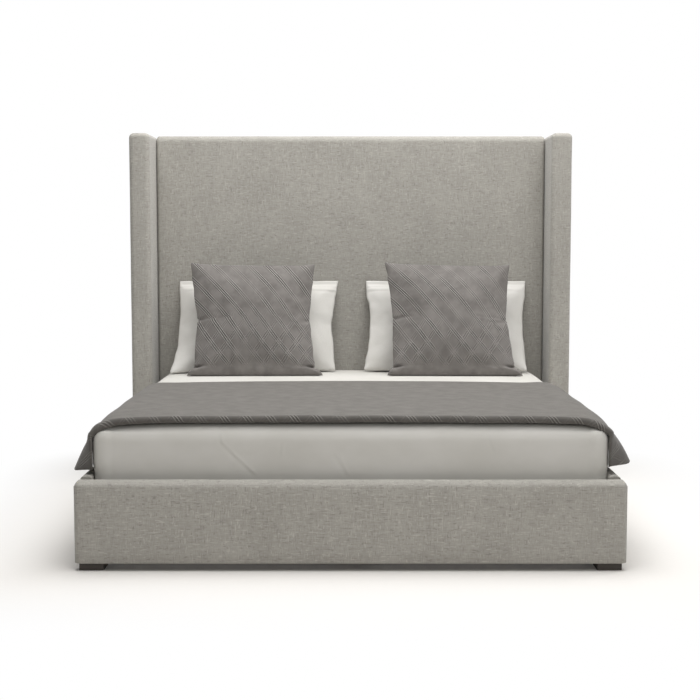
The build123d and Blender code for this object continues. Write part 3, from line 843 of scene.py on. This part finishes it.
def throw_mesh():
    """The quilt as one closed skin, its sides joined round the edge, with the flat cloth as its UVs."""
    across = rounded_places(2 * half_cloth, side_edge, 0.014)
    along = [v / length for v in rounded_places(length, front_edge, 0.018, 8)]
    top, under, top_uvs, under_uvs = [], [], [], []
    for t in along:
        for s in across:
            a = s - half_cloth
            base, normal = throw_point(a, t)
            from_front = (1 - t) * length
            half_full = throw_thickness(a, from_front) / 2
            round_front = min(1.0, from_front / half_full)
            round_back = min(1.0, (t * length) / back_round)
            round_side = min(1.0, min(s, 2 * half_cloth - s) / side_edge)
            share = 1.0
            for e in (round_front, round_back, round_side):
                share *= math.sqrt(max(0.0, 1 - (1 - e) ** 2))
            middle = base + normal * half_full
            top.append(middle + normal * (half_full * share))
            under.append(middle - normal * (half_full * share))
            arc = half_full * math.asin(1 - round_front)
            flat = length - from_front if round_front == 1.0 else length - half_full
            nose = length - half_full + 2 * half_full * math.pi / 4
            top_uvs.append((a, -flat - arc))
            under_uvs.append((a, flat + arc - 2 * nose))

    cols, rows, half = len(across), len(along), len(top)

    def below(i):
        """The number of a point's partner on the under side, which on the edge is the point itself."""
        r, c = divmod(i, cols)
        return i if r in (0, rows - 1) or c in (0, cols - 1) else i + half

    faces = []
    for r in range(rows - 1):
        for c in range(cols - 1):
            i = r * cols + c
            quad = (i, i + cols, i + cols + 1, i + 1)
            faces.append(quad)
            faces.append(tuple(below(j) for j in quad[::-1]))
    faces, verts, uvs = keep_used(faces, top + under, top_uvs + under_uvs)
    return mesh_piece("throw_quilt", verts, faces, uvs)


throw = throw_mesh()
finish_piece(throw, "throw", throw_cloth, "throw")


# Pillows and cushions

cloth_settings = dict(
    quality=6, mass=0.25, tension_stiffness=12.0, compression_stiffness=12.0, shear_stiffness=4.0,
    bending_stiffness=0.3, tension_damping=12.0, compression_damping=12.0, air_damping=4.0,
    use_pressure=True, uniform_pressure_force=5.0,
)
last_frame = 20


def blown_depths(name, verts, faces):
    """How far each point of a sewn pad stands out once a cloth simulation has blown it up."""
    obj = mesh_piece(name, verts, faces)
    cloth = obj.modifiers.new("cloth", "CLOTH")
    for key, value in cloth_settings.items():
        setattr(cloth.settings, key, value)
    cloth.settings.effector_weights.gravity = 0.0
    cloth.collision_settings.use_collision = False
    cloth.point_cache.frame_start = 1
    cloth.point_cache.frame_end = last_frame
    for number in range(1, last_frame + 1):
        scene.frame_set(number)
    ready = obj.evaluated_get(bpy.context.evaluated_depsgraph_get())
    depth = [abs(v.co.y) for v in ready.data.vertices]
    scene.frame_set(1)
    bpy.data.objects.remove(obj)
    return depth


def inflate(name, width, height, cells_u, cells_v):
    def flat_place(u, v, layer):
        plump = (1 - u ** 4) * (1 - (2 * v - 1) ** 4)
        edge = abs(u) == 1.0 or v in (0.0, 1.0)
        out = 0.0 if edge else (0.006 + 0.02 * plump) * (-1 if layer == 0 else 1)
        return u * width / 2, out, v * height

    us, vs = even(-1.0, 1.0, cells_u), even(0.0, 1.0, cells_v)
    verts, faces, shares, index = two_sided(us, vs, flat_place)
    depth = blown_depths(name + "_blank", verts, faces)
    most = max(depth)
    rows, cols = range(cells_v + 1), range(cells_u + 1)
    return [[[depth[index[layer, i, j]] / most for i in cols] for j in rows] for layer in (0, 1)]


def field_at(field, u, v):
    """The blown depth at shares u (-1 to 1) and v (0 to 1)."""
    if not (-1.0 < u < 1.0 and 0.0 < v < 1.0):
        return 0.0
    rows, cols = len(field) - 1, len(field[0]) - 1
    x, y = (u + 1) / 2 * cols, v * rows
    i, j = min(int(x), cols - 1), min(int(y), rows - 1)
    s, t = x - i, y - j
    return lerp(lerp(field[j][i], field[j][i + 1], s), lerp(field[j + 1][i], field[j + 1][i + 1], s), t)


def spine_at(spine, v):
    """A smooth leaning line through the spine's points, and the way that it faces."""
    def point(t):
        return table_at(spine, t, eased=False)

    y, z = point(v)
    if 0.12 < v < 0.88:
        y = sum(point(v + d)[0] for d in (-0.12, -0.06, 0.0, 0.06, 0.12)) / 5
    low, high = point(v - 0.1), point(v + 0.1)
    run = Vector((0.0, high[0] - low[0], high[1] - low[1])).normalized()
    return y, z, Vector((0.0, -run.z, run.y))


def pad_mesh(name, us, vs, place, width, height):
    """A closed pad from place(u, v, layer), with its cloth's flat size as UVs."""
    verts, faces, shares, _ = two_sided(us, vs, place)
    return mesh_piece(name, verts, faces, [((u + 1) / 2 * width, v * height) for u, v in shares])


def spread(low, high, count, *crowded):
    """Even places from low to high, with extra ones packed round each crowded place."""
    places = even(low, high, count)
    for middle, reach, extra in crowded:
        places += even(middle - reach, middle + reach, extra)
    kept = []
    for value in sorted(v for v in {round(p, 5) for p in places} if low <= v <= high):
        if not kept or value - kept[-1] > (high - low) * 0.003:
            kept.append(value)
    kept[-1] = high
    return kept


def on_bed(point, lift=0.0012, soft=0.010):
    """Press a point that would sink in the bed flat on its sheet."""
    base = sheet_top - bed_drop(point.x, point.y) + lift
    if point.z < base + soft:
        point.z = base + soft * math.exp((point.z - base - soft) / soft)
    return point


def based(reach, u, v, depth):
    """Keep the back of a pad full where it sits, so that it rests on a flat base."""
    full = depth * (1 - abs(u) ** 8) * smooth(v / 0.03) * (1 - smooth((v - 0.05) / 0.28))
    return max(reach, full)


pillow_fields = inflate("pillow", 0.80, 0.50, 56, 36)
cushion_fields = inflate("cushion", 0.66, 0.66, 48, 48)

# Half width and middle of each pad at shares of its height
pillow_outline = {
    "left": (
        (0.0, 0.4225, -0.5010), (0.145, 0.4105, -0.4965), (0.28, 0.4030, -0.4910), (0.46, 0.3965, -0.4955),
        (0.51, 0.3950, -0.4950), (0.61, 0.3985, -0.4895), (0.77, 0.4060, -0.4870), (0.90, 0.4140, -0.4850),
        (1.0, 0.4165, -0.4820)),
    "right": (
        (0.0, 0.4200, 0.4877), (0.10, 0.4130, 0.4890), (0.26, 0.4040, 0.4950), (0.38, 0.3980, 0.4960),
        (0.58, 0.3975, 0.4990), (0.70, 0.4030, 0.5000), (0.82, 0.4160, 0.4985), (1.0, 0.4190, 0.5000)),
}
cushion_outline = {
    "left": (
        (0.0, 0.3425, -0.4805), (0.030, 0.3370, -0.4800), (0.066, 0.3200, -0.4800), (0.078, 0.3020, -0.4830),
        (0.10, 0.3020, -0.4830), (0.22, 0.2980, -0.4870), (0.40, 0.2900, -0.4900), (0.468, 0.2860, -0.4905),
        (0.486, 0.2805, -0.4895), (0.505, 0.2850, -0.4935), (0.70, 0.2975, -0.4990), (0.88, 0.3085, -0.5005),
        (1.0, 0.3155, -0.5015)),
    "right": (
        (0.0, 0.3400, 0.5240), (0.030, 0.3360, 0.5235), (0.066, 0.3210, 0.5215), (0.078, 0.3050, 0.5190),
        (0.10, 0.3040, 0.5180), (0.22, 0.3000, 0.5130), (0.40, 0.2940, 0.5070), (0.478, 0.2890, 0.5030),
        (0.496, 0.2840, 0.5015), (0.515, 0.2880, 0.5010), (0.70, 0.2970, 0.4995), (0.88, 0.3080, 0.4965),
        (1.0, 0.3165, 0.4945)),
}

# Sizes of the pillows' and cushions' forms; how far a low outer corner of a pillow slides forward and down
pillow_form = Form(front=0.081, back=0.070, base=0.066, hem_edge=0.0022, seam=0.882, behind_limit=1.0135,
                   corner_slide={"left": (0.060, 0.010), "right": (0.012, 0.002)})
cushion_form = Form(front=0.078, back=0.076, base=0.060, roll=0.040, roll_reach=0.046, groove=0.083,
                    dent=0.485, tilt={"left": -0.004, "right": -0.0065})


def pillow_place(side, seed):
    """The pillow's points: plump, creased, with a sewn hem near its top and a flat base."""
    low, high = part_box(f"pillow_{side}")
    spine = ((0.0, low.y + 0.072, sheet_top + 0.008), (0.3, low.y + 0.120, sheet_top + 0.144),
             (0.65, low.y + 0.195, sheet_top + 0.312), (1.0, high.y - 0.008, high.z - 0.002))
    outline, form = pillow_outline[side], pillow_form
    outer = -1.0 if side == "left" else 1.0
    slide_y, slide_z = form.corner_slide[side]

    def place(u, v, layer):
        half, centre = table_at(outline, v)
        y, z, normal = spine_at(spine, v)
        plump = field_at(pillow_fields[layer], u, min(1.0, v / 0.955)) ** 0.9
        front = layer == 0
        edge = abs(u) == 1.0 or v in (0.0, 1.0)
        reach = (0.0 if edge else form.hem_edge) + (form.front if front else form.back) * plump
        if front:
            lumps = wavy(u * 1.5, v * 1.2, 0.0, 3.2, seed)
            lumps += 0.5 * wavy(u * 4.0, v * 3.0, 0.0, 3.2, seed + 4.0)
            reach += 0.0045 * lumps * min(1.0, plump * 4.0)
            inward = smooth((1.0 - u * outer) / 0.24) * (abs(u) < 1.0)
            seam = form.seam + 0.006 * wavy(u * 3.0, 0.0, 0.0, 1.5, seed + 8.0)
            reach += 0.0017 * inward * bell(v, seam, 0.013)
            reach -= 0.0012 * inward * bell(v, seam - 0.028, 0.016)
        else:
            reach = based(reach, u, v, form.base)
        flap = 0.005 * wavy(u * 2.0, v * 2.6, 0.0, 1.9, seed + 7.0) * (1 - min(1.0, plump * 3.0))
        flap *= smooth(v / 0.2)
        low_corner = smooth((u * outer - 0.55) / 0.45) * (1 - smooth(v / 0.22))
        y -= slide_y * low_corner
        z -= slide_z * low_corner
        if v > 0.9:
            z += 0.004 * wavy(u * 3.0, 0.0, 0.0, 1.4, seed + 2.0) - 0.002
        point = Vector((centre + u * half, y, z)) + normal * ((reach if front else -reach) + flap)
        point.y = min(point.y, form.behind_limit)
        return on_bed(point)

    return place


def cushion_place(side, seed):
    """The cushion's points: plump, rolled over at its foot, dented at its sides, with pointed corners."""
    low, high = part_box(f"cushion_{side}")
    spine = ((0.0, low.y + 0.050, sheet_top - 0.006), (0.3, low.y + 0.110, sheet_top + 0.160),
             (0.65, low.y + 0.190, sheet_top + 0.365), (1.0, high.y - 0.008, high.z - 0.006))
    outline, form = cushion_outline[side], cushion_form
    tilt = form.tilt[side]

    def place(u, v, layer):
        half, centre = table_at(outline, v)
        y, z, normal = spine_at(spine, v)
        plump = field_at(cushion_fields[layer], u, v) ** 0.85
        front = layer == 0
        reach = (form.front if front else form.back) * plump
        rim = smooth((abs(u) - 0.80) / 0.17)
        if front:
            roll = max(0.0, 1 - ((v - form.roll) / form.roll_reach) ** 2)
            reach += (0.0022 + 0.010 * rim) * roll * min(1.0, plump * 6.0 + 0.35) * (abs(u) < 1.0)
            groove = form.groove + 0.03 * (1 - abs(u))
            reach -= (0.0005 + 0.017 * rim) * bell(v, groove, 0.012) * min(1.0, plump * 8.0)
            dent = form.dent + 0.10 * (1 - abs(u)) * (1 if u < 0 else -1.4)
            reach -= 0.006 * bell(v, dent, 0.016) * smooth((abs(u) - 0.70) / 0.25) * min(1.0, plump * 8.0)
            lumps = wavy(u * 1.6, v * 2.0, 0.0, 3.0, seed)
            lumps += 0.6 * wavy(u * 4.5, v * 4.0, 0.0, 2.6, seed + 3.0)
            reach += 0.0035 * lumps * min(1.0, plump * 3.0)
            ruck = wavy(u * 9.0, v * 14.0, 0.0, 1.6, seed + 6.0) * smooth((u - 0.35) / 0.4)
            ruck *= bell(v, 0.43, 0.09)
            reach += 0.004 * ruck * min(1.0, plump * 4.0)
        else:
            reach = based(reach, u, v, form.base)
        corner = smooth((abs(u) - 0.80) / 0.20) * smooth((v - 0.86) / 0.14)
        x = centre + u * half + math.copysign(0.0025, u) * corner
        z += 0.006 * corner - 0.004 * (1 - u * u) * smooth((v - 0.8) / 0.2) + tilt * u * v
        if abs(u) > 0.9:
            x += 0.0016 * wavy(v * 14.0, u, 0.0, 1.0, seed + 9.0)
        return on_bed(Vector((x, y, z)) + normal * (reach if front else -reach))

    return place


pillow_us = spread(-1.0, 1.0, 64, (-1.0, 0.05, 8), (1.0, 0.05, 8))
pillow_vs = spread(0.0, 1.0, 48, (0.90, 0.06, 16), (0.0, 0.04, 8), (1.0, 0.03, 6))
cushion_us = spread(-1.0, 1.0, 72, (-1.0, 0.05, 10), (1.0, 0.05, 10))
cushion_vs = spread(0.0, 1.0, 64, (0.085, 0.05, 20), (0.48, 0.05, 10), (0.0, 0.03, 6), (1.0, 0.03, 6))

for side, sign in both_sides:
    pillow = pad_mesh(f"pillow_{side}_slip", pillow_us, pillow_vs, pillow_place(side, 2.0 + sign), 0.84, 0.50)
    finish_piece(pillow, f"pillow_{side}", white_slip, f"pillow_{side}")
    place = cushion_place(side, 9.0 + 2 * sign)
    cushion = pad_mesh(f"cushion_{side}_cover", cushion_us, cushion_vs, place, 0.63, 0.60)
    finish_piece(cushion, f"cushion_{side}", cushion_cloth, f"cushion_{side}")


# Finishes of the CAD pieces

finishes = (
    (pine_x, "footboard_board headboard_rails slats"),
    (pine_y, "side_rail_left_board side_rail_right_board slat_ledger_left slat_ledger_right center_beam"),
    (pine_z, "headboard_stiles headboard_studs center_leg_1 center_leg_2 center_leg_3"),
    (board_wood, "headboard_face_board headboard_base_board wing_left_board wing_right_board"),
    (dark_wood, "foot_front_left foot_front_right foot_rear_left foot_rear_right"),
    (foam_look, "headboard_foam footboard_foam wing_left_foam wing_right_foam"),
    (foam_look, "side_rail_left_foam side_rail_right_foam"),
    (tape, "slat_ribbons"),
    (zinc, "rail_bolts wing_bolts"),
    (black_steel, "rail_brackets beam_hanger_foot beam_hanger_head"),
    (black_steel, "center_leg_glide_1 center_leg_glide_2 center_leg_glide_3"),
)
for look, names in finishes:
    for name in names.split():
        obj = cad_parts[name]
        if not obj.material_slots:
            obj.data.materials.append(look)
        for slot in obj.material_slots:
            slot.material = look


# Floor, light and camera

white = (1.0, 1.0, 1.0, 1.0)
object_half = 1.1
floor_half = 24.0
floor_cells = 24


def floor_material():
    """Pale paper that fades to white away from the bed, as the camera sees it."""
    n = Look("floor_paper")
    base = n.mix(n.noise(60.0), srgb(228, 225, 221), srgb(232, 229, 225))
    n.set(Base_Color=base, Roughness=0.95, Specular_IOR_Level=0.1)
    x, y, _ = n.add("ShaderNodeSeparateXYZ", {"Vector": n.place}).outputs
    wide = n.larger(n.minus(n.maths("ABSOLUTE", x), object_half), 0.0)
    deep = n.larger(n.minus(n.maths("ABSOLUTE", y), object_half), 0.0)
    off = n.maths("SQRT", n.plus(n.times(wide, wide), n.times(deep, deep)))
    rays = n.add("ShaderNodeLightPath").outputs
    seen = n.larger(rays["Is Camera Ray"], rays["Is Glossy Ray"])
    glow = n.add("ShaderNodeEmission", {"Color": white, "Strength": 1.0})
    n.mix_shaders(n.times(n.ramp(off, -0.06, 0.82), seen), n.shader, glow, n.output)
    return n.material


def floor_sheet():
    row = floor_cells + 1
    places = even(-floor_half, floor_half, floor_cells)
    corners = [j * row + i for j in range(floor_cells) for i in range(floor_cells)]
    faces = [(a, a + 1, a + row + 1, a + row) for a in corners]
    return mesh_piece("floor", [(x, y, 0.0) for y in places for x in places], faces)


floor = floor_sheet()
floor.data.materials.append(floor_material())


def studio_world():
    """Faint even light, which the camera sees as plain white."""
    world = bpy.data.worlds.new("studio")
    scene.world = world
    world.use_nodes = True
    n = Nodes(world.node_tree)
    faint = n.tree.nodes["Background"]
    faint.inputs["Color"].default_value = (0.97, 0.98, 1.0, 1.0)
    faint.inputs["Strength"].default_value = 0.12
    paper = n.add("ShaderNodeBackground", {"Color": white, "Strength": 1.0})
    rays = n.add("ShaderNodeLightPath").outputs
    seen = n.larger(n.larger(rays["Is Camera Ray"], rays["Is Glossy Ray"]), rays["Is Transmission Ray"])
    n.mix_shaders(seen, faint, paper, n.tree.nodes["World Output"])


studio_world()

# Name, place, the point it faces, size and energy of each lamp
lamps = (
    ("soft_top", (0.2, -0.6, 4.6), (0.0, 0.0, 0.4), (4.5, 4.0), 232.0),
    ("soft_front", (2.8, -5.0, 3.0), (0.0, 0.0, 0.8), (3.0, 2.4), 38.0),
    ("soft_high", (0.3, -4.0, 5.8), (0.0, 0.2, 0.8), (5.0, 2.0), 78.0),
    ("soft_back", (0.0, 1.8, 4.6), (0.0, -0.3, 0.4), (4.0, 2.0), 38.0),
    ("over_right", (3.9, 0.75, 3.5), (-1.0, 0.85, 1.1), (1.6, 1.2), 42.0),
    ("behind", (0.0, 5.4, 2.4), (0.0, 1.1, 0.9), (4.0, 3.0), 50.0),
)
lamp_colour = (1.0, 0.995, 0.985)
for name, place, target, size, energy in lamps:
    light = bpy.data.lights.new(name, "AREA")
    light.shape = "RECTANGLE"
    light.size, light.size_y = size
    light.energy = energy
    light.color = lamp_colour
    lamp = bpy.data.objects.new(name, light)
    scene.collection.objects.link(lamp)
    lamp.location = place
    lamp.rotation_euler = (Vector(target) - Vector(place)).to_track_quat("-Z", "Y").to_euler()

camera_pitch = 4.933
camera_data = bpy.data.cameras.new("camera")
camera_data.sensor_width = 36.0
camera_data.lens = 67.40
camera_data.shift_x = -0.00086
camera_data.clip_start = 0.1
camera_data.clip_end = 200.0
camera = bpy.data.objects.new("camera", camera_data)
scene.collection.objects.link(camera)
camera.location = (0.0, -5.8927, 1.241)
camera.rotation_euler = (math.radians(90.0 - camera_pitch), 0.0, 0.0)
scene.camera = camera

scene.view_settings.view_transform = "Standard"
